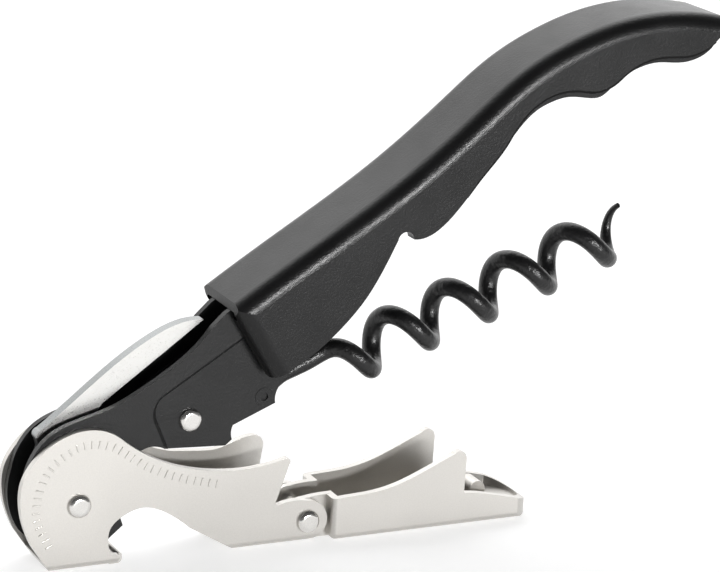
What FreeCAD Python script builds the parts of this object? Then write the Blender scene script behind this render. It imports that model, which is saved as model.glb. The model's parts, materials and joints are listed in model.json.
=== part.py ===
import FreeCAD, Part
import math
import os
import Sketcher

# Double-lever waiter's corkscrew, standing open on its levers.
# Part frame: +X towards the handle's tail, +Y across the widths, +Z up.
# The origin is under the middle of the whole thing, on the surface it stands on.
# Handle pieces are drawn along the handle (u) and square to it (v) from the head pivot,
# then turned up by open_angle.  Lever pieces are drawn level, from the same pivot.

V = FreeCAD.Vector
doc = FreeCAD.newDocument("Corkscrew")
sheet = doc.addObject("Spreadsheet::Sheet", "Dims")

DIMS = [
    ("head_x", -42.04, "head pivot, along X"),
    ("head_z", 8.9, "head pivot, above the floor"),
    ("open_angle", 35.0, "handle above the levers, degrees"),
    ("gauge", 1.0, "thickness of all pressed sheet"),
    ("running", 0.05, "radial clearance of turning fits"),
    ("slack", 0.1, "side clearance between sliding plates"),
    ("handle_width", 13.2, "outside width of the handle shell"),
    ("shoulder", 2.3, "outside radius of the handle's shoulders"),
    ("tail_corner", 2.2, "plan radius of the tail's corners"),
    ("frame_width", 6.2, "outside width of the frame"),
    ("frame_step", 0.7, "inward step of the frame's lower field"),
    ("frame_head", 7.75, "radius of the frame's head about the pivot"),
    ("tang_end", 60.0, "end of the frame's tang under the roof"),
    ("rivet_u", 18.6, "frame rivet along the handle"),
    ("rivet_v", -1.3, "frame rivet square to the handle"),
    ("worm_u", 28.5, "worm pivot along the handle"),
    ("worm_v", -5.6, "worm pivot square to the handle"),
    ("stage_x", 33.0, "stage pivot along the levers"),
    ("stage_z", -6.0, "stage pivot above the head pivot"),
    ("lever_width", 8.4, "outside width of the first lever"),
    ("second_width", 10.8, "outside width of the second lever"),
    ("second_end", 67.75, "nose of the second lever from the head pivot"),
    ("nose_radius", 6.3, "plan radius of the second lever's nose"),
    ("nose_floor", 1.7, "floor of the second lever's nose, above the surface it stands on"),
    ("rest_width", 3.2, "width of the round-topped rest behind the second notch"),
    ("bend", 1.2, "outside radius of the levers' lower bends"),
    ("shank", 1.2, "radius of every rivet's shank"),
    ("rivet_head", 1.6, "radius of a rivet's head"),
    ("dome", 0.8, "height of a rivet's head"),
    ("sleeve", 1.75, "radius of the stage sleeve"),
    ("knife_thick", 1.6, "thickness of the knife"),
    ("tang_radius", 5.4, "radius of the knife's tang"),
    ("wire", 2.6, "diameter of the worm's wire"),
    ("coil_radius", 2.9, "radius of the worm's centre line"),
    ("pitch", 9.05, "pitch of the worm's first turn"),
    ("stretch", 0.02, "growth of the worm's pitch in each turn"),
    ("reach", 59.0, "worm pivot to the worm's tip"),
    ("worm_angle", 15.1, "worm below the handle, degrees"),
    ("worm_drop", 1.0, "worm's axis below its pivot"),
    ("eye", 2.1, "radius of the worm's eye"),
]
for row, (name, size, note) in enumerate(DIMS, start=1):
    sheet.set("A%d" % row, note)
    sheet.set("B%d" % row, "%g" % size)
    sheet.setAlias("B%d" % row, name)
doc.recompute()


def dim(name):
    return float(sheet.get(name))


G = dim("gauge")
FLOOR = -dim("head_z")
HALF_HANDLE = dim("handle_width") / 2
HALF_LEVER = dim("lever_width") / 2
HALF_SECOND = dim("second_width") / 2
S_X = dim("stage_x")
S_Z = dim("stage_z")


def bind(obj, prop, expression):
    obj.setExpression(prop, expression)


def new_body(label, tilt=True):
    body = doc.addObject("PartDesign::Body", label)
    body.Label = label
    body.Placement.Rotation = FreeCAD.Rotation(V(0, -1, 0), dim("open_angle") if tilt else 0)
    bind(body, ".Placement.Base.x", "Dims.head_x")
    bind(body, ".Placement.Base.z", "Dims.head_z")
    if tilt:
        bind(body, ".Placement.Rotation.Angle", "Dims.open_angle")
    return body


def outline(body, name, start, steps, plane="XZ_Plane", offset=None):
    """A closed sketch from start through the steps, on one of the body's planes."""
    sk = body.newObject("Sketcher::SketchObject", name)
    base = [f for f in body.Origin.OriginFeatures if f.Role == plane][0]
    sk.AttachmentSupport = [(base, "")]
    sk.MapMode = "FlatFace"
    if offset:
        sk.AttachmentOffset.Base = V(0, 0, 0)
        bind(sk, ".AttachmentOffset.Base.z", offset)
    here = start
    steps = list(steps)
    if steps[-1][-1] != start and not (steps[-1][0] == "curve" and steps[-1][1][-1] == start):
        steps.append(("line", start))
    for step in steps:
        a = V(here[0], here[1], 0)
        if step[0] == "line":
            end = step[1]
            geo = Part.LineSegment(a, V(end[0], end[1], 0))
        elif step[0] == "arc":
            end = step[2]
            geo = Part.Arc(a, V(step[1][0], step[1][1], 0), V(end[0], end[1], 0))
        else:
            end = step[1][-1]
            geo = Part.BSplineCurve()
            geo.interpolate([a] + [V(x, y, 0) for x, y in step[1]])
        sk.addGeometry(geo, False)
        here = end
    return sk


def lines(points):
    return [("line", p) for p in points]


def disc(body, name, centre, radius, plane="XZ_Plane", offset=None):
    """A full circle whose radius and centre follow the sheet."""
    sk = body.newObject("Sketcher::SketchObject", name)
    base = [f for f in body.Origin.OriginFeatures if f.Role == plane][0]
    sk.AttachmentSupport = [(base, "")]
    sk.MapMode = "FlatFace"
    if offset:
        bind(sk, ".AttachmentOffset.Base.z", offset)
    sk.addGeometry(Part.Circle(V(0, 0, 0), V(0, 0, 1), 1), False)
    sk.addConstraint(Sketcher.Constraint("Radius", 0, 1))
    bind(sk, "Constraints[0]", radius)
    if centre is None:
        sk.addConstraint(Sketcher.Constraint("Coincident", 0, 3, -1, 1))
    else:
        sk.addConstraint(Sketcher.Constraint("DistanceX", -1, 1, 0, 3, 1))
        sk.addConstraint(Sketcher.Constraint("DistanceY", -1, 1, 0, 3, 1))
        bind(sk, "Constraints[1]", centre[0])
        bind(sk, "Constraints[2]", centre[1])
    return sk


def across(body, kind, sk, width):
    """A pad or pocket, equal to both sides of the middle plane."""
    feature = body.newObject("PartDesign::" + kind, sk.Name + kind)
    feature.Profile = sk
    feature.SideType = "Symmetric"
    feature.Refine = True
    bind(feature, "Length", width)
    sk.Visibility = False
    doc.recompute()
    return feature


def one_way(body, kind, sk, depth, reverse):
    feature = body.newObject("PartDesign::" + kind, sk.Name + kind)
    feature.Profile = sk
    feature.Reversed = reverse
    feature.Refine = True
    bind(feature, "Length", depth)
    sk.Visibility = False
    doc.recompute()
    return feature


def eased(body, name, kind, prop, size, pick):
    """A fillet or chamfer on every edge of the tip that pick accepts."""
    tip = body.Tip
    shape = tip.Shape
    names = ["Edge%d" % (i + 1) for i, e in enumerate(shape.Edges) if pick(e)]
    if not names:
        raise RuntimeError("no edges for " + name)
    feature = body.newObject("PartDesign::" + kind, name)
    feature.Base = (tip, names)
    feature.Refine = True
    bind(feature, prop, size)
    doc.recompute()
    return feature


def rounded(body, name, radius, pick):
    return eased(body, name, "Fillet", "Radius", radius, pick)


def sloped(body, name, size, pick):
    return eased(body, name, "Chamfer", "Size", size, pick)


def middle(edge):
    a, b = edge.ParameterRange
    return edge.valueAt((a + b) / 2)


def drill(body, name, centre, radius):
    """A hole right through, across the widths."""
    return across(body, "Pocket", disc(body, name, centre, radius), "Dims.handle_width * 2")


# ---- handle shell ---------------------------------------------------------------

ROOF = [(40.0, 9.0), (48.5, 8.6), (61.0, 8.35), (73.6, 9.2), (81.6, 9.75), (88.9, 9.0),
        (95.7, 7.2), (102.0, 4.25), (107.4, 0.35), (110.3, -2.4)]
GRIP = [(104.4, -4.75), (101.3, -3.45), (98.4, -1.2), (95.2, 0.05), (92.0, 0.3), (88.8, 0.2),
        (87.0, 1.5), (84.8, 3.3), (82.5, 4.2), (80.6, 4.55), (78.0, 4.35), (73.3, 3.0), (68.4, 1.75),
        (63.3, 0.35), (60.2, -0.1), (57.9, 0.2), (56.4, 1.1)]
GROOVE = [(68.4, 2.0), (73.3, 3.3), (77.5, 4.95), (81.2, 5.4), (84.2, 4.7), (86.6, 3.25), (88.8, 1.35),
          (91.0, 0.6), (94.4, 0.65), (97.4, 0.1), (100.0, -1.25), (102.9, -3.3), (105.2, -4.1),
          (108.0, -4.1)]
BELLY = [(50.8, 0.5), (46.4, -1.4), (42.0, -2.45), (37.1, -2.95), (33.5, -2.85)]


def handle_shell():
    body = new_body("handle_shell")
    start = (30.25, -2.6)
    steps = [("line", (30.95, 9.25)), ("curve", ROOF), ("arc", (110.4, -3.0), (110.0, -3.4)),
             ("line", (107.6, -4.3)), ("line", (106.4, -4.75)), ("curve", GRIP),
             ("arc", (55.5, 2.9), (54.5, 2.5)), ("curve", BELLY), ("line", start)]
    across(body, "Pad", outline(body, "HandleSide", start, steps), "Dims.handle_width")
    # the tail's corners, seen from above the handle
    w = HALF_HANDLE
    c = dim("tail_corner")
    end = 110.5 - c
    for side in (-1, 1):
        corner = [("line", (end + 0.2 * c, side * (w + 2))), ("line", (114.0, side * (w + 2))),
                  ("line", (114.0, side * (w - c))), ("line", (end + c, side * (w - c))),
                  ("arc", (end + 0.7071 * c, side * (w - 0.2929 * c)), (end + 0.2 * c, side * w))]
        sk = outline(body, "TailCorner%d" % (side + 1), (end + 0.2 * c, side * w), corner, "XY_Plane")
        across(body, "Pocket", sk, "Dims.handle_width * 6")

    def on_shoulder(e):
        m = middle(e)
        box = e.BoundBox
        flat = abs(abs(m.y) - w) < 0.01 and box.YLength < 0.01
        return flat and (m.z > 5.0 or (m.x < 31.5 and box.ZLength > 5)) and m.x < 103
    rounded(body, "Shoulders", "Dims.shoulder", on_shoulder)

    # the hollow: full width under the roof, down through the open belly
    inner = [("line", (32.3, 9.25 - G))]
    inner.append(("curve", [(x, z - G) for x, z in ROOF[:-3]] + [(101.4, 3.4), (106.3, -0.2)]))
    inner.append(("arc", (107.0, -2.2), (106.2, -3.3)))
    inner.append(("curve", [(x, z + G) for x, z in GRIP]))
    inner += lines([(56.3, -9.0), (31.4, -9.0)])
    sk = outline(body, "Hollow", (31.4, -3.1), inner)
    across(body, "Pocket", sk, "Dims.handle_width - 2 * Dims.gauge")
    mouth = lines([(55.0, 4.0)])
    mouth.append(("curve", [(62.8, 2.0), (68.8, 3.5), (76.6, 5.5), (81.2, 6.3), (86.0, 4.8),
                            (89.6, 2.2), (95.2, 1.8), (98.9, 0.3), (102.6, -2.6)]))
    mouth += lines([(103.6, -9.0), (54.0, -9.0)])
    sk = outline(body, "Mouth", (54.0, 4.0), mouth)
    across(body, "Pocket", sk, "Dims.handle_width - 4 * Dims.gauge")
    # the end face is open for the frame, with round reliefs at the top corners
    slot = lines([(25.0, -9.0), (33.0, -9.0), (33.0, 8.15), (25.0, 8.15)])
    across(body, "Pocket", outline(body, "EndSlot", (25.0, -9.0), slot[1:]), "Dims.frame_width + 0.1")
    relief = [("line", (-4.1, 6.9)), ("arc", (-4.8, 7.55), (-4.1, 8.2)), ("line", (4.1, 8.2)),
              ("arc", (4.8, 7.55), (4.1, 6.9))]
    sk = outline(body, "Relief", (4.1, 6.9), relief, "YZ_Plane")
    bind(sk, ".AttachmentOffset.Base.z", "33")
    one_way(body, "Pocket", sk, "4", False)
    # the roof is cut back at a slope over the frame
    slope = lines([(29.0, 13.0), (31.9, 13.0), (31.9, 9.3), (30.6, 7.4)])
    across(body, "Pocket", outline(body, "EndSlope", (29.0, 7.4), slope), "Dims.handle_width * 2")
    # a step along the grip's lower edge, on both outer faces
    for side, sign in (("Near", 1), ("Far", -1)):
        step = [("curve", GROOVE), ("line", (112.0, -9.0)), ("line", (65.0, -9.0))]
        face = "%d * (Dims.handle_width / 2 + 1)" % sign
        sk = outline(body, "Groove" + side, (65.0, 0.7), step, offset=face)
        one_way(body, "Pocket", sk, "1.45", sign < 0)
    return body


# ---- frame ----------------------------------------------------------------------

def frame():
    body = new_body("frame")
    r = dim("frame_head")
    start = (3.2, -7.0)
    steps = [("line", (0.9, -7.2)), ("arc", (-r * 0.81, -r * 0.58), (-r, -0.4)),
             ("arc", (-6.6, 3.8), (-3.7, 7.2)),
             ("curve", [(-0.9, 9.2), (1.9, 9.95), (7.1, 8.9), (11.0, 7.6), (15.0, 6.95), (19.3, 6.65),
                        (24.2, 6.8), (27.8, 7.7)]),
             ("line", (30.4, 8.1)), ("line", (36.0, 7.9)), ("line", (36.0, -3.0)),
             ("curve", [(34.5, -4.4), (32.4, -5.4), (31.1, -5.75), (29.9, -6.5), (29.3, -7.4)]),
             ("line", (22.9, -6.0)), ("arc", (22.2, -6.6), (21.7, -7.6)),
             ("line", (20.5, -7.7)), ("line", (13.6, -2.3)),
             ("curve", [(11.4, -0.1), (8.5, -0.3), (5.2, -2.6), (3.6, -5.6)]),
             ("line", start)]
    across(body, "Pad", outline(body, "Walls", start, steps), "Dims.frame_width")
    # tang under the handle's roof
    end = dim("tang_end")
    sk = outline(body, "Tang", (33.0, 7.9), lines([(end, 7.0), (end, 6.2), (35.0, 6.95), (33.0, 6.95)]))
    across(body, "Pad", sk, "Dims.frame_width")
    # the lower field, stepped inwards on both sides
    field = lines([(17.9, 3.8)])
    field.append(("arc", (15.9, 3.3), (15.0, 1.9)))
    field += lines([(13.6, -4.5), (13.6, -9.0), (40.0, -9.0), (40.0, 3.2)])
    for side, sign in (("Near", 1), ("Far", -1)):
        sk = outline(body, "Field" + side, (30.2, 3.2), field + [("line", (30.2, 3.2))])
        bind(sk, ".AttachmentOffset.Base.z", "%d * (Dims.frame_width / 2 + 1)" % sign)
        one_way(body, "Pocket", sk, "Dims.frame_step + 1", sign < 0)

    def on_step(e):
        m = middle(e)
        flat = abs(abs(m.y) - dim("frame_width") / 2) < 0.01 and e.BoundBox.YLength < 0.01
        return flat and 13.7 < m.x < 35.5 and -2.6 < m.z < 3.95
    sloped(body, "StepEdge", "Dims.frame_step - 0.1", on_step)
    # between the walls: wide for the knife, narrow for the worm
    narrow = lines([(38.0, -10.0), (38.0, 6.9), (31.8, 6.9), (31.8, 14.0), (-12.0, 14.0), (-12.0, -10.0)])
    sk = outline(body, "Gap", (38.0, -10.0), narrow[1:])
    across(body, "Pocket", sk, "Dims.frame_width - 2 * Dims.frame_step - 2 * Dims.gauge")
    wide = lines([(18.0, 4.9)])
    wide.append(("arc", (15.3, 4.2), (14.0, 2.4)))
    wide += lines([(12.6, -3.0), (12.6, -9.0), (-12.0, -9.0), (-12.0, 14.0), (31.8, 14.0), (31.8, 7.1),
                   (38.0, 7.1), (38.0, 4.3)])
    sk = outline(body, "KnifeGap", (38.0, 4.3), wide)
    across(body, "Pocket", sk, "Dims.frame_width - 2 * Dims.gauge")
    drill(body, "HeadHole", None, "Dims.shank + 0.02")
    drill(body, "RivetHole", ("Dims.rivet_u", "Dims.rivet_v"), "Dims.shank")
    drill(body, "WormHole", ("Dims.worm_u", "Dims.worm_v"), "Dims.wire / 2 - 0.05")
    return body


# ---- rivets, washers and pins ---------------------------------------------------------

def rivet(label, centre, grip, tilt=True):
    """A shank between two domed heads.  grip is the half length under the heads."""
    body = new_body(label, tilt)
    sk = disc(body, label + "Shank", centre, "Dims.shank")
    across(body, "Pad", sk, "2 * (%s)" % grip)
    for side, sign in (("Near", 1), ("Far", -1)):
        sk = disc(body, label + side, centre, "Dims.rivet_head", offset="%d * (%s)" % (sign, grip))
        one_way(body, "Pad", sk, "Dims.dome", sign < 0)

    def on_rim(e):
        return e.Curve.TypeId == "Part::GeomCircle" and abs(e.Curve.Radius - dim("rivet_head")) < 0.01 \
            and abs(e.Curve.Center.y) > abs(body.Shape.BoundBox.YMax) - 0.05
    rounded(body, label + "Dome", "Dims.dome - 0.1", on_rim)
    return body


def ring(label, centre, outer, inner, low, width, tilt=True):
    """A flat ring from low towards -Y, for washers and sleeves."""
    body = new_body(label, tilt)
    one_way(body, "Pad", disc(body, label + "Disc", centre, outer, offset=low), width, False)
    one_way(body, "Pocket", disc(body, label + "Bore", centre, inner, offset=low), width, True)
    return body


def worm_pin():
    body = new_body("worm_pin")
    centre = ("Dims.worm_u", "Dims.worm_v")
    pin = "Dims.frame_width - 2 * Dims.frame_step + 0.1"
    across(body, "Pad", disc(body, "PinShank", centre, "Dims.wire / 2 - 0.05"), pin)
    for side, sign in (("Near", 1), ("Far", -1)):
        sk = disc(body, "Dimple" + side, centre, "0.55", offset="%d * (%s) / 2" % (sign, pin))
        one_way(body, "Pocket", sk, "0.25", sign < 0)
    return body


# ---- knife and spring -----------------------------------------------------------------

def knife_blade():
    body = new_body("knife_blade")
    t = dim("tang_radius")
    start = (0.9, 9.5)
    steps = [("arc", (1.15, 10.2), (2.0, 10.35)), ("curve", [(8.5, 10.75), (15.8, 11.15), (21.0, 10.9),
                                                             (25.3, 9.9), (27.9, 8.3)]),
             ("line", (10.6, 7.9)), ("arc", (7.9, 6.2), (6.2, 2.6)),
             ("line", (t, 0.0)), ("arc", (0.0, -t), (-t, 0.0)),
             ("curve", [(-4.9, 2.9), (-2.6, 5.9), (0.5, 8.4)]), ("line", start)]
    across(body, "Pad", outline(body, "Blade", start, steps), "Dims.knife_thick")
    # nail nick on the far side
    nick = [("line", (17.0, 10.1)), ("arc", (14.0, 9.3), (11.0, 10.1))]
    sk = outline(body, "Nick", (11.0, 10.1), nick, offset="-Dims.knife_thick / 2 - 1")
    one_way(body, "Pocket", sk, "1.35", True)
    drill(body, "KnifeHole", None, "Dims.shank + Dims.running")
    return body


def back_spring():
    body = new_body("back_spring")
    start = (7.4, 0.2)
    steps = [("line", (7.0, 2.2)), ("curve", [(11.0, 2.9), (15.0, 2.2), (19.0, 1.7)]),
             ("curve", [(22.0, 0.2), (25.9, -2.3)]), ("line", (25.0, -4.0)),
             ("curve", [(22.4, -3.3), (19.6, -4.1)]), ("curve", [(16.4, -3.2), (14.0, 0.2), (11.2, 1.0)]),
             ("line", start)]
    width = "Dims.frame_width - 2 * Dims.frame_step - 2 * Dims.gauge - 2 * Dims.slack"
    across(body, "Pad", outline(body, "Leaf", start, steps), width)
    drill(body, "LeafHole", ("Dims.rivet_u", "Dims.rivet_v"), "Dims.shank")
    return body


# ---- levers ----------------------------------------------------------------------------

def first_lever():
    body = new_body("first_lever", tilt=False)
    f = FLOOR
    start = (-3.8, f)
    steps = [("line", (-6.4, -5.0)),
             ("curve", [(-7.5, -2.2), (-8.1, 1.2), (-7.8, 3.8), (-6.5, 6.2), (-4.8, 8.0), (-2.5, 9.4),
                        (0.0, 10.15), (2.4, 10.1), (5.5, 8.7)]),
             ("curve", [(9.8, 5.7), (13.9, 3.9), (18.5, 2.8), (22.4, 2.45), (26.1, 2.65), (29.2, 3.3)]),
             ("arc", (29.9, 3.2), (29.9, 2.5)), ("line", (28.2, -2.6)), ("arc", (28.3, -3.1), (28.8, -3.15)),
             ("curve", [(30.8, -2.85), (33.0, -3.1)]), ("arc", (S_X + 2.9, S_Z), (34.2, f + 0.25)),
             ("line", (33.0, f)), ("line", (22.4, f)), ("line", (15.7, -4.9)),
             ("curve", [(12.0, -2.2), (9.0, -1.3), (6.3, -2.1), (4.4, -3.9), (4.2, -5.6), (4.45, -7.0)]),
             ("arc", (4.6, -7.4), (4.9, -7.5)), ("line", (5.6, -7.55)), ("arc", (5.9, -7.7), (5.95, -8.0)),
             ("line", (5.6, f))]
    across(body, "Pad", outline(body, "LeverSide", start, steps), "Dims.lever_width")

    def on_bend(e):
        m = middle(e)
        box = e.BoundBox
        along = box.XLength > 3 and box.YLength < 0.01
        return along and abs(m.z - f) < 0.01 and abs(abs(m.y) - HALF_LEVER) < 0.01
    rounded(body, "LeverBends", "Dims.bend - 0.25", on_bend)
    # everything between the plates but the two lower webs
    gap = lines([(40.0, 14.0), (40.0, -14.0), (29.5, -14.0), (29.5, f + G), (21.0, f + G), (21.0, -14.0),
                 (6.0, -14.0), (6.0, f + G), (-3.25, f + G), (-3.87, -7.01), (-4.7, -7.57), (-8.0, -9.8),
                 (-14.0, -9.8)])
    sk = outline(body, "LeverGap", (-14.0, 14.0), gap)
    across(body, "Pocket", sk, "Dims.lever_width - 2 * Dims.gauge")
    # crown-cap lip, curled up from the head web
    lip = [("line", (5.7, f)), ("arc", (6.2, f + 0.2), (6.4, f + 0.7)), ("line", (6.35, -7.7)),
           ("arc", (6.05, -7.45), (5.75, -7.7)), ("line", (5.7, f + G + 0.1)),
           ("arc", (5.6, f + G + 0.02), (5.5, f + G)), ("line", (4.6, f + G))]
    sk = outline(body, "CapLip", (4.6, f), lip)
    across(body, "Pad", sk, "Dims.lever_width - 2 * Dims.gauge + 1")
    # the far plate's horn is blunter and stands a little higher than the near one
    side = "-Dims.lever_width / 2 - 1"
    trim = lines([(27.5, 1.0), (27.5, 6.0), (32.0, 6.0), (32.0, -1.0), (28.7, -1.0)])
    sk = outline(body, "FarTrim", (28.7, -1.0), trim, offset=side)
    one_way(body, "Pocket", sk, "Dims.gauge + 1", True)
    horn = [("curve", [(14.6, 3.6), (19.0, 3.05), (22.6, 3.0), (25.4, 3.9), (27.6, 4.35)]),
            ("arc", (28.9, 3.9), (29.3, 2.9)), ("line", (28.7, -1.0)), ("line", (20.0, 0.0))]
    sk = outline(body, "FarHorn", (12.0, 4.4), horn, offset="-Dims.lever_width / 2")
    one_way(body, "Pad", sk, "Dims.gauge", False)
    drill(body, "LeverHeadHole", None, "Dims.shank + Dims.running")
    drill(body, "LeverStageHole", ("Dims.stage_x", "Dims.stage_z"), "Dims.shank + Dims.running")
    return body


def second_lever():
    body = new_body("second_lever", tilt=False)
    f = FLOOR
    start = (36.2, f)
    steps = [("line", (36.2, -2.9)), ("curve", [(38.0, -2.75), (41.2, -2.6), (45.0, -2.0), (49.5, -0.4),
                                                (54.2, 1.65)]),
             ("arc", (55.6, 1.9), (56.2, 0.9)), ("line", (56.1, -3.9)), ("arc", (56.2, -4.15), (56.5, -4.2)),
             ("curve", [(58.7, -4.5), (61.2, -5.05), (63.9, -5.7), (66.2, -6.5), (68.0, -7.6)]),
             ("line", (dim("second_end") + 1, -7.7)), ("line", (dim("second_end") + 1, f))]
    across(body, "Pad", outline(body, "SecondSide", start, steps), "Dims.second_width")
    inner = lines([(62.0, f + G), (62.0, 10.0), (37.2, 10.0)])
    sk = outline(body, "SecondGap", (37.2, f + G), inner)
    across(body, "Pocket", sk, "Dims.second_width - 2 * Dims.gauge")
    # round nose in plan
    r = dim("nose_radius")
    tip = dim("second_end")
    reach = math.sqrt(r * r - HALF_SECOND ** 2)
    x = tip - r + reach
    w = HALF_SECOND
    nose = lines([(x, -w - 1), (tip + 2, -w - 1), (tip + 2, w + 1), (x, w + 1), (x, w)])
    nose.append(("arc", (tip, 0.0), (x, -w)))
    sk = outline(body, "Nose", (x, -w), nose, "XY_Plane")
    across(body, "Pocket", sk, "60")
    # the rim is carried round the nose
    inside = r - G
    v = w - G
    y = tip - r + math.sqrt(inside * inside - v * v)
    cup = lines([(y, v)])
    cup.append(("arc", (tip - G, 0.0), (y, -v)))
    cup.append(("line", (61.9, -v)))
    sk = outline(body, "Cup", (61.9, v), cup, "XY_Plane", "Dims.nose_floor - Dims.head_z")
    one_way(body, "Pocket", sk, "20", True)
    # the round-topped rest that stands on the web
    rest = [("line", (59.0, -5.4)), ("arc", (60.2, -4.2), (61.4, -5.4)), ("line", (61.4, f + 0.5))]
    across(body, "Pad", outline(body, "Rest", (59.0, f + 0.5), rest), "Dims.rest_width")
    # ears that run between the first lever's plates
    ear = [("arc", (S_X - 2.9, S_Z), (S_X, S_Z + 2.9)), ("curve", [(34.6, -2.9), (36.9, -2.85)]),
           ("line", (36.9, S_Z - 2.9))]
    sk = outline(body, "Ears", (S_X, S_Z - 2.9), ear)
    across(body, "Pad", sk, "Dims.lever_width - 2 * Dims.gauge - 2 * Dims.slack")
    between = lines([(37.3, f + G), (37.3, 4.0), (28.0, 4.0), (28.0, -12.0), (36.2, -12.0), (36.2, f + G)])
    sk = outline(body, "EarGap", (37.3, f + G), between[1:])
    across(body, "Pocket", sk, "Dims.lever_width - 4 * Dims.gauge - 2 * Dims.slack")
    drill(body, "EarHole", ("Dims.stage_x", "Dims.stage_z"), "Dims.shank + Dims.running")

    def on_bend(e):
        m = middle(e)
        b = e.BoundBox
        return abs(m.z - f) < 0.01 and b.XLength > 10 and b.YLength < 0.01 and abs(abs(m.y) - w) < 0.01
    rounded(body, "SecondBends", "Dims.bend - 0.25", on_bend)

    def on_corner(e):
        m = middle(e)
        b = e.BoundBox
        return abs(m.x - 36.2) < 0.01 and b.ZLength > 3 and b.YLength < 0.01 and abs(abs(m.y) - w) < 0.01
    rounded(body, "Joggle", "0.8", on_corner)
    return body


# ---- worm ---------------------------------------------------------------------------------

def smooth(x):
    x = min(max(x, 0.0), 1.0)
    return x * x * (3 - 2 * x)


def worm_point(s):
    """Centre line of the wire: s along the worm's axis from the pivot, z square to it."""
    top = 12.2
    soft = 0.9
    drop = dim("worm_drop")
    past = min((top - s) / soft, 40.0)
    run = (s - top) + soft * math.log(1 + math.exp(past))
    phi = 2 * math.pi / dim("stretch") * math.log(1 + dim("stretch") * run / dim("pitch"))
    coil = dim("coil_radius") + 0.15 * s / dim("reach")
    radius = drop + 1.0 * smooth(s / 4.5) + (coil - drop - 1.0) * smooth((s - 7.0) / 8.0)
    return V(s, -radius * math.sin(phi), -drop + radius * math.cos(phi))


def worm():
    """The wire is lofted in code: no sketch feature gives a shank, a coil and a ground point in one."""
    reach = dim("reach")
    r = dim("wire") / 2
    ground = 4.7
    count = 14
    cuts = [1.7, 14.0, 27.0, 40.5, reach - ground, reach]
    up = V(0, 0, 1)
    pieces = []
    for first, last in zip(cuts[:-1], cuts[1:]):
        sections = []
        for i in range(count + 1):
            s = first + (last - first) * i / count
            along = (worm_point(s + 0.001) - worm_point(s - 0.001)).normalize()
            up = (up - along * up.dot(along)).normalize()
            left = max(0.0, 1 - (reach - s) / ground)
            circle = Part.Circle(worm_point(s), along, r - (r - 0.36) * left ** 0.8)
            circle.XAxis = up
            sections.append(Part.Wire(circle.toShape()))
        pieces.append(Part.makeLoft(sections, True, False))
    wire = pieces[0].multiFuse(pieces[1:])
    eye = Part.makeCylinder(dim("eye"), r * 2, V(0, r, 0), V(0, -1, 0))
    bore = Part.makeCylinder(r - 0.05 + dim("running"), 10, V(0, 5, 0), V(0, -1, 0))
    solid = wire.fuse(eye).cut(bore)
    feature = doc.addObject("Part::Feature", "worm")
    feature.Label = "worm"
    feature.Shape = solid
    tilt = dim("open_angle") - dim("worm_angle")
    up = math.radians(dim("open_angle"))
    u, v = dim("worm_u"), dim("worm_v")
    x = u * math.cos(up) - v * math.sin(up) + dim("head_x")
    z = u * math.sin(up) + v * math.cos(up) + dim("head_z")
    feature.Placement = FreeCAD.Placement(V(x, 0, z), FreeCAD.Rotation(V(0, -1, 0), tilt))
    return feature


stage = ("Dims.stage_x", "Dims.stage_z")
turning = "Dims.shank + Dims.running"
over_lever = "Dims.lever_width / 2 + 0.05"
half_gap = "(Dims.frame_width / 2 - Dims.gauge - 0.05)"
washer = "(Dims.frame_width / 2 - Dims.gauge - Dims.knife_thick / 2 - 0.1)"
sleeve = "Dims.lever_width - 4 * Dims.gauge - 2 * Dims.slack - 0.1"

parts = [handle_shell(), frame()]
parts.append(rivet("head_rivet", None, over_lever))
over_frame = "Dims.frame_width / 2 - Dims.frame_step"
parts.append(rivet("frame_rivet", ("Dims.rivet_u", "Dims.rivet_v"), over_frame))
parts.append(rivet("stage_rivet", stage, over_lever, tilt=False))
parts.append(worm_pin())
parts.append(knife_blade())
parts.append(ring("knife_washer_near", None, "4.4", turning, "Dims.knife_thick / 2 + 0.05", washer))
parts.append(ring("knife_washer_far", None, "4.4", turning, "-" + half_gap, washer))
parts.append(back_spring())
parts.append(first_lever())
parts.append(ring("stage_sleeve", stage, "Dims.sleeve", turning, "-(%s) / 2" % sleeve, sleeve, tilt=False))
parts.append(second_lever())
parts.append(worm())
doc.recompute()

bad = [o.Name for o in doc.Objects if "Invalid" in o.State or "Error" in o.State]
if bad:
    raise RuntimeError("broken objects: %s" % bad)
os.makedirs("parts", exist_ok=True)
for part in parts:
    shape = part.Shape
    if shape.isNull() or not shape.isValid():
        raise RuntimeError("bad shape: " + part.Label)
    shape.exportStep("parts/%s.step" % part.Label)
    box = shape.BoundBox
    print("%-18s %d solid %8.2f mm3" % (part.Label, len(shape.Solids), shape.Volume), end="  ")
    print("X %.2f %.2f" % (box.XMin, box.XMax), end="  ")
    print("Y %.2f %.2f  Z %.2f %.2f" % (box.YMin, box.YMax, box.ZMin, box.ZMax))
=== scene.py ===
import json
import math
import bpy
import bmesh
from mathutils import Matrix, Vector


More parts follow.
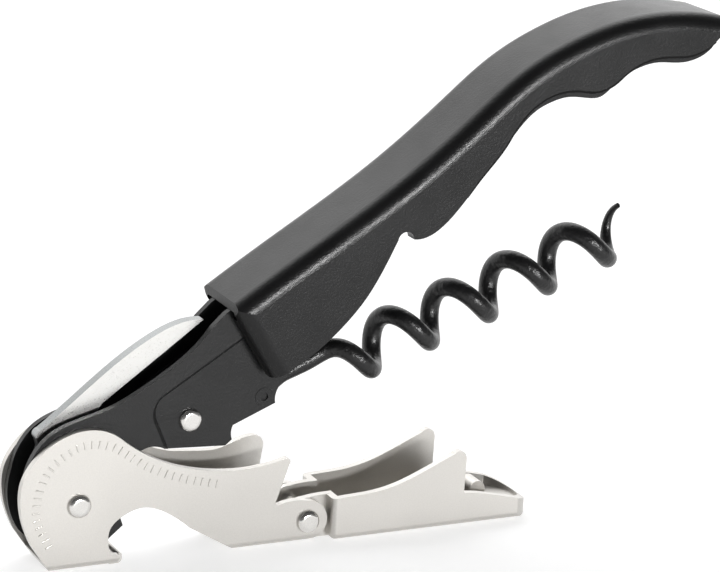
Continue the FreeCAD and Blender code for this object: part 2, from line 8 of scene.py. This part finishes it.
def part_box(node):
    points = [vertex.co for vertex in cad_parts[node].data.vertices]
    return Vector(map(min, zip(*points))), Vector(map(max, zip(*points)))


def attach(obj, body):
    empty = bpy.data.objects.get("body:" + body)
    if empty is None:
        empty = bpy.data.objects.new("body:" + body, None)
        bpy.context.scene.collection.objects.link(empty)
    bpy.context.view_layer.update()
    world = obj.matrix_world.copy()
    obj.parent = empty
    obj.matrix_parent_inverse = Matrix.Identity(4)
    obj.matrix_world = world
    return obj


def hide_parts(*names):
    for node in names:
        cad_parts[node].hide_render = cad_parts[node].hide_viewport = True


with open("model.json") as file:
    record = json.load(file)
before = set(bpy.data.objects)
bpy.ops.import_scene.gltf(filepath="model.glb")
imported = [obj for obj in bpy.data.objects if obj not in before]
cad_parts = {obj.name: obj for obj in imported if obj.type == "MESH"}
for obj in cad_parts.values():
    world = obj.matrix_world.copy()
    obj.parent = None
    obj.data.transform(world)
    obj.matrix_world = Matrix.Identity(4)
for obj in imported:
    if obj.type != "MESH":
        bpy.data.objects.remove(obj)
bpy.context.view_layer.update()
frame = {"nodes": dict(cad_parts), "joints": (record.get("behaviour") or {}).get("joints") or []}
nodes = frame["nodes"]
joints = {j["name"]: j for j in frame["joints"]}
HEAD = Vector(joints["lever_hinge"]["pos_m"])
HANDLE_TILT = math.radians(35)
MM = 0.001


# ---- node materials ---------------------------------------------------------------

def new_material(name, color, metallic, roughness):
    mat = bpy.data.materials.new(name)
    mat.use_nodes = True
    tree = mat.node_tree
    shader = tree.nodes["Principled BSDF"]
    shader.inputs["Base Color"].default_value = (*color, 1)
    shader.inputs["Metallic"].default_value = metallic
    shader.inputs["Roughness"].default_value = roughness
    return mat, tree, shader


def noise(tree, scale, detail=2.0, rough=0.5, stretch=(1, 1, 1)):
    """3-D noise on the object's own coordinates; scale is in features per metre."""
    coord = tree.nodes.new("ShaderNodeTexCoord")
    mapping = tree.nodes.new("ShaderNodeMapping")
    mapping.inputs["Scale"].default_value = stretch
    tex = tree.nodes.new("ShaderNodeTexNoise")
    tex.inputs["Scale"].default_value = scale
    tex.inputs["Detail"].default_value = detail
    tex.inputs["Roughness"].default_value = rough
    tree.links.new(coord.outputs["Object"], mapping.inputs["Vector"])
    tree.links.new(mapping.outputs["Vector"], tex.inputs["Vector"])
    return tex.outputs["Fac"]


def spread(tree, value, low, high, from_low=0.3, from_high=0.7):
    """A noise value as a number from low to high."""
    node = tree.nodes.new("ShaderNodeMapRange")
    node.inputs["From Min"].default_value = from_low
    node.inputs["From Max"].default_value = from_high
    node.inputs["To Min"].default_value = low
    node.inputs["To Max"].default_value = high
    tree.links.new(value, node.inputs["Value"])
    return node.outputs["Result"]


def blend_colors(tree, value, low, high, from_low=0.3, from_high=0.7):
    ramp = tree.nodes.new("ShaderNodeValToRGB")
    ramp.color_ramp.elements[0].position = from_low
    ramp.color_ramp.elements[0].color = (*low, 1)
    ramp.color_ramp.elements[1].position = from_high
    ramp.color_ramp.elements[1].color = (*high, 1)
    tree.links.new(value, ramp.inputs["Fac"])
    return ramp.outputs["Color"]


def bump(tree, shader, value, height, strength=1.0):
    """height is in metres."""
    node = tree.nodes.new("ShaderNodeBump")
    node.inputs["Strength"].default_value = strength
    node.inputs["Distance"].default_value = height
    tree.links.new(value, node.inputs["Height"])
    tree.links.new(node.outputs["Normal"], shader.inputs["Normal"])


def coated_black(name, color, roughness, specular, grain, height):
    """A dark coating; specular is the strength of its sheen."""
    mat, tree, shader = new_material(name, color, 0.0, roughness)
    shader.inputs["Specular IOR Level"].default_value = specular
    fine = noise(tree, grain, 3.0, 0.6)
    low = [c * 0.85 for c in color]
    high = [c * 1.25 for c in color]
    tree.links.new(blend_colors(tree, fine, low, high), shader.inputs["Base Color"])
    patch = noise(tree, 220.0, 2.0)
    tree.links.new(spread(tree, patch, roughness - 0.03, roughness + 0.04), shader.inputs["Roughness"])
    bump(tree, shader, fine, height)
    return mat


def plated(name, color, roughness, grain=7000.0, height=0.003 * MM):
    """A bare metal surface: an even colour with a fine grain."""
    mat, tree, shader = new_material(name, color, 1.0, roughness)
    fine_grain = noise(tree, grain, 2.0, 0.6)
    cloud = noise(tree, 60.0, 1.0)
    tree.links.new(spread(tree, cloud, roughness - 0.02, roughness + 0.03), shader.inputs["Roughness"])
    low = [c * 0.93 for c in color]
    tree.links.new(blend_colors(tree, fine_grain, low, color), shader.inputs["Base Color"])
    bump(tree, shader, fine_grain, height)
    return mat


def blade_steel():
    """Polished flats; the spine and the other edges get a darker base colour by which way the face turns,
    which is painted shade.
    """
    mat, tree, shader = new_material("ground_steel", (0.8, 0.8, 0.8), 1.0, 0.3)
    coord = tree.nodes.new("ShaderNodeTexCoord")
    split = tree.nodes.new("ShaderNodeSeparateXYZ")
    side = tree.nodes.new("ShaderNodeMath")
    side.operation = "ABSOLUTE"
    tree.links.new(coord.outputs["Normal"], split.inputs["Vector"])
    tree.links.new(split.outputs["Y"], side.inputs[0])
    # painted shade: faces turned along Y keep a bright base colour, while the spine and edges get a dark
    # one
    facing_shade_color = blend_colors(tree, side.outputs["Value"], (0.30, 0.31, 0.31), (0.62, 0.615, 0.60), 0.5, 0.8)
    tree.links.new(facing_shade_color, shader.inputs["Base Color"])
    grind = noise(tree, 7000.0, 2.0, 0.6)
    tree.links.new(spread(tree, grind, 0.26, 0.36), shader.inputs["Roughness"])
    bump(tree, shader, grind, 0.002 * MM)
    return mat


HANDLE = coated_black("satin_black", (0.004, 0.004, 0.0042), 0.32, 0.32, 3000.0, 0.04 * MM)
FRAME = coated_black("matte_black", (0.005, 0.005, 0.0052), 0.36, 0.34, 3000.0, 0.03 * MM)
WORM = coated_black("worm_coating", (0.004, 0.004, 0.0042), 0.33, 0.42, 1500.0, 0.12 * MM)
NICKEL = plated("satin_nickel", (0.57, 0.553, 0.525), 0.34, 5200.0, 0.006 * MM)
BLADE = blade_steel()
DOME = plated("polished_dome", (0.78, 0.765, 0.74), 0.18)
SPRING = plated("spring_steel", (0.45, 0.45, 0.46), 0.35)

LOOKS = {
    "handle_shell": HANDLE, "frame": FRAME, "worm": WORM, "worm_pin": FRAME,
    "head_rivet": DOME, "frame_rivet": DOME, "stage_rivet": DOME, "stage_sleeve": DOME,
    "knife_blade": BLADE, "knife_washer_near": SPRING, "knife_washer_far": SPRING,
    "back_spring": SPRING, "first_lever": NICKEL, "second_lever": NICKEL,
}
for name, mat in LOOKS.items():
    for material_slot in nodes[name].material_slots:
        material_slot.material = mat


# ---- rounded copies of the pressed pieces ---------------------------------------------

# points nearer than SAME_POINT are joined, faces within FLAT are merged, and edges over SHARP are rounded
SAME_POINT = 0.003 * MM
FLAT = math.radians(0.4)
SHARP = math.radians(28.0)


def fine(name, body, finish, width):
    """A copy of a CAD node whose sharp edges are rounded by width; it replaces the node."""
    source = nodes[name]
    obj = bpy.data.objects.new(name + "_fine", source.data.copy())
    obj.matrix_world = source.matrix_world.copy()
    bpy.context.scene.collection.objects.link(obj)
    bm = bmesh.new()
    bm.from_mesh(obj.data)
    bmesh.ops.remove_doubles(bm, verts=bm.verts, dist=SAME_POINT)
    bmesh.ops.dissolve_limit(bm, angle_limit=FLAT, verts=bm.verts, edges=bm.edges)
    for face in bm.faces:
        face.smooth = True
    bm.to_mesh(obj.data)
    bm.free()
    if "custom_normal" in obj.data.attributes:
        obj.data.attributes.remove(obj.data.attributes["custom_normal"])
    edges = obj.modifiers.new("edges", "BEVEL")
    edges.width = width
    edges.segments = 3
    edges.limit_method = "ANGLE"
    edges.angle_limit = SHARP
    edges.harden_normals = True
    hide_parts(name)
    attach(obj, body)


fine("frame", "handle", "frame_black", 0.28 * MM)
fine("first_lever", "lever", "lever_nickel", 0.14 * MM)
fine("second_lever", "lever_end", "lever_nickel", 0.14 * MM)


# ---- painted shadow: a dark bead in the groove under the grip's lower edge --------------

SHADOW_BEAD_PATH = [(65.6, 1.05), (68.4, 1.9), (73.3, 3.2), (77.5, 4.85), (81.2, 5.3), (84.2, 4.6), (86.6, 3.15),
             (88.8, 1.25), (91.0, 0.5), (94.4, 0.55), (97.4, 0.0), (100.0, -1.35), (102.9, -3.4),
             (105.2, -4.2), (107.2, -4.2)]
SHADOW_BEAD_RADIUS = 0.3 * MM
SHADOW_BEAD_Y = 6.28
# painted shadow: a near-black material for the bead that stands in for the shade inside the groove
SHADOW_BEAD = coated_black("painted_groove_shadow", (0.002, 0.002, 0.002), 0.7, 0.15, 4000.0, 0.01 * MM)


def shadow_bead(name, y):
    """A thin dark bead in the corner of the step, a painted shadow standing in for the shade in the
    groove; its points are along and square to the handle.
    """
    curve = bpy.data.curves.new(name, "CURVE")
    curve.dimensions = "3D"
    curve.bevel_depth = SHADOW_BEAD_RADIUS
    curve.bevel_resolution = 3
    spline = curve.splines.new("BEZIER")
    spline.bezier_points.add(len(SHADOW_BEAD_PATH) - 1)
    for point, (u, v) in zip(spline.bezier_points, SHADOW_BEAD_PATH):
        x = u * math.cos(HANDLE_TILT) - v * math.sin(HANDLE_TILT)
        z = u * math.sin(HANDLE_TILT) + v * math.cos(HANDLE_TILT)
        point.co = HEAD + Vector((x, y, z)) * MM
        point.handle_left_type = "AUTO"
        point.handle_right_type = "AUTO"
    obj = bpy.data.objects.new(name, curve)
    curve.materials.append(SHADOW_BEAD)
    bpy.context.scene.collection.objects.link(obj)
    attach(obj, "handle")


shadow_bead("grip_shadow_bead_near", -SHADOW_BEAD_Y)
shadow_bead("grip_shadow_bead_far", SHADOW_BEAD_Y)


# ---- plain dashes round the first lever's head ------------------------------------------

DASH_PATH = [(-4.0, -5.3), (-5.9, -0.6), (-4.5, 4.7), (-0.4, 7.9), (4.2, 7.7), (9.5, 4.3), (14.6, 2.1),
             (20.2, 0.7)]
DASH_GAP = 1.0
DASH_SIZE = Vector((0.22, 0.18, 1.1)) * MM  # along the path, through the plate, square to the path
STEPS = 40


def between(points, i, t):
    """A point on the smooth curve through points, after point i, with t from 0 to 1."""
    p = [Vector(points[min(max(i + k, 0), len(points) - 1)]) for k in (-1, 0, 1, 2)]
    return 0.5 * (2 * p[1] + (p[2] - p[0]) * t + (2 * p[0] - 5 * p[1] + 4 * p[2] - p[3]) * t * t
                  + (3 * p[1] - p[0] - 3 * p[2] + p[3]) * t ** 3)


def dashes():
    """Low blocks square to the path, half sunk in the near plate's outer face."""
    trail = [between(DASH_PATH, i, k / STEPS) for i in range(len(DASH_PATH) - 1) for k in range(STEPS)]
    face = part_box("first_lever")[0].y
    bm = bmesh.new()
    covered = DASH_GAP
    for here, after in zip(trail[:-1], trail[1:]):
        covered += (after - here).length
        if covered < DASH_GAP:
            continue
        covered = 0.0
        along = (after - here).normalized()
        square = Vector((-along.y, along.x))
        place = HEAD + Vector((here.x, 0, here.y)) * MM
        place.y = face
        turn = Matrix((Vector((along.x, 0, along.y)), Vector((0, 1, 0)), Vector((square.x, 0, square.y))))
        block = Matrix.Translation(place) @ (turn.transposed() @ Matrix.Diagonal(DASH_SIZE)).to_4x4()
        bmesh.ops.create_cube(bm, size=1.0, matrix=block)
    mesh = bpy.data.meshes.new("lever_dashes")
    bm.to_mesh(mesh)
    bm.free()
    obj = bpy.data.objects.new("lever_dashes", mesh)
    obj.data.materials.append(NICKEL)
    bpy.context.scene.collection.objects.link(obj)
    edges = obj.modifiers.new("edges", "BEVEL")
    edges.width = 0.05 * MM
    edges.segments = 2
    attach(obj, "lever")


dashes()


# ---- floor, light, camera ------------------------------------------------------------

def plane(name, size, place, mat):
    mesh = bpy.data.meshes.new(name)
    s = size / 2
    mesh.from_pydata([(-s, -s, 0), (s, -s, 0), (s, s, 0), (-s, s, 0)], [], [(0, 1, 2, 3)])
    obj = bpy.data.objects.new(name, mesh)
    obj.location = place
    obj.data.materials.append(mat)
    bpy.context.scene.collection.objects.link(obj)
    return obj


FLOOR_WHITE = 0.6
FLOOR_GLOW = 0.6
FLOOR_SIZE = 6.0
FLOOR_DROP = 0.2 * MM

floor_mat, _, floor_shader = new_material("floor_white", (FLOOR_WHITE,) * 3, 0.0, 0.9)
floor_shader.inputs["Emission Color"].default_value = (1, 1, 1, 1)
floor_shader.inputs["Emission Strength"].default_value = FLOOR_GLOW
plane("floor", FLOOR_SIZE, (0, 0, -FLOOR_DROP), floor_mat)


def area_light(name, place, target, size, power, cone=180.0):
    """A rectangular lamp; cone is the angle that its light spreads over, in degrees."""
    data = bpy.data.lights.new(name, "AREA")
    data.shape = "RECTANGLE"
    data.size, data.size_y = size
    data.energy = power
    data.spread = math.radians(cone)
    obj = bpy.data.objects.new(name, data)
    obj.location = place
    look = Vector(target) - Vector(place)
    obj.rotation_euler = look.to_track_quat("-Z", "Y").to_euler()
    bpy.context.scene.collection.objects.link(obj)


area_light("overhead", (0.2, 0.9, 1.1), (0, 0.1, 0), (1.6, 1.0), 9.0)
area_light("front_strip", (0.15, -1.1, 0.17), (0, 0, 0.05), (1.3, 0.08), 1.05, 24.0)


def fade(tree, value, start, end, low, high):
    """A number that goes smoothly from low to high while value goes from start to end."""
    node = tree.nodes.new("ShaderNodeMapRange")
    node.interpolation_type = "SMOOTHSTEP"
    node.inputs["From Min"].default_value = start
    node.inputs["From Max"].default_value = end
    node.inputs["To Min"].default_value = low
    node.inputs["To Max"].default_value = high
    tree.links.new(value, node.inputs["Value"])
    return node.outputs["Result"]


# the room: bright behind the object and near the horizon, darker overhead and in front
world = bpy.data.worlds.new("studio")
world.use_nodes = True
tree = world.node_tree
coord = tree.nodes.new("ShaderNodeTexCoord")
split = tree.nodes.new("ShaderNodeSeparateXYZ")
tree.links.new(coord.outputs["Generated"], split.inputs["Vector"])
both = tree.nodes.new("ShaderNodeMath")
both.operation = "MULTIPLY"
tree.links.new(fade(tree, split.outputs["Y"], -0.2, 0.8, 0.12, 1.0), both.inputs[0])
tree.links.new(fade(tree, split.outputs["Z"], 0.2, 0.6, 1.7, 0.8), both.inputs[1])
background = tree.nodes["Background"]
tree.links.new(both.outputs["Value"], background.inputs["Strength"])
background.inputs["Color"].default_value = (1, 1, 1, 1)
bpy.context.scene.world = world
bpy.context.scene.view_settings.view_transform = "Standard"

LENS = 151.2
SENSOR = 36.0
AZIMUTH = math.radians(26.28)
ELEVATION = math.radians(16.25)
ROLL = math.radians(2.96)
DISTANCE = 407.4 * MM
look_at = HEAD + Vector((41.13, 0, 25.3)) * MM
forward = Vector((math.sin(AZIMUTH) * math.cos(ELEVATION), math.cos(AZIMUTH) * math.cos(ELEVATION),
                  -math.sin(ELEVATION)))
right = Vector((math.cos(AZIMUTH), -math.sin(AZIMUTH), 0))
above = right.cross(forward)
turned_right = right * math.cos(ROLL) + above * math.sin(ROLL)
turned_above = above * math.cos(ROLL) - right * math.sin(ROLL)
cam_data = bpy.data.cameras.new("camera")
cam_data.sensor_width = SENSOR
cam_data.lens = LENS
cam_data.clip_start = 0.01
camera = bpy.data.objects.new("camera", cam_data)
camera.matrix_world = Matrix.Translation(look_at - forward * DISTANCE) @ Matrix(
    (turned_right, turned_above, -forward)).transposed().to_4x4()
bpy.context.scene.collection.objects.link(camera)
bpy.context.scene.camera = camera
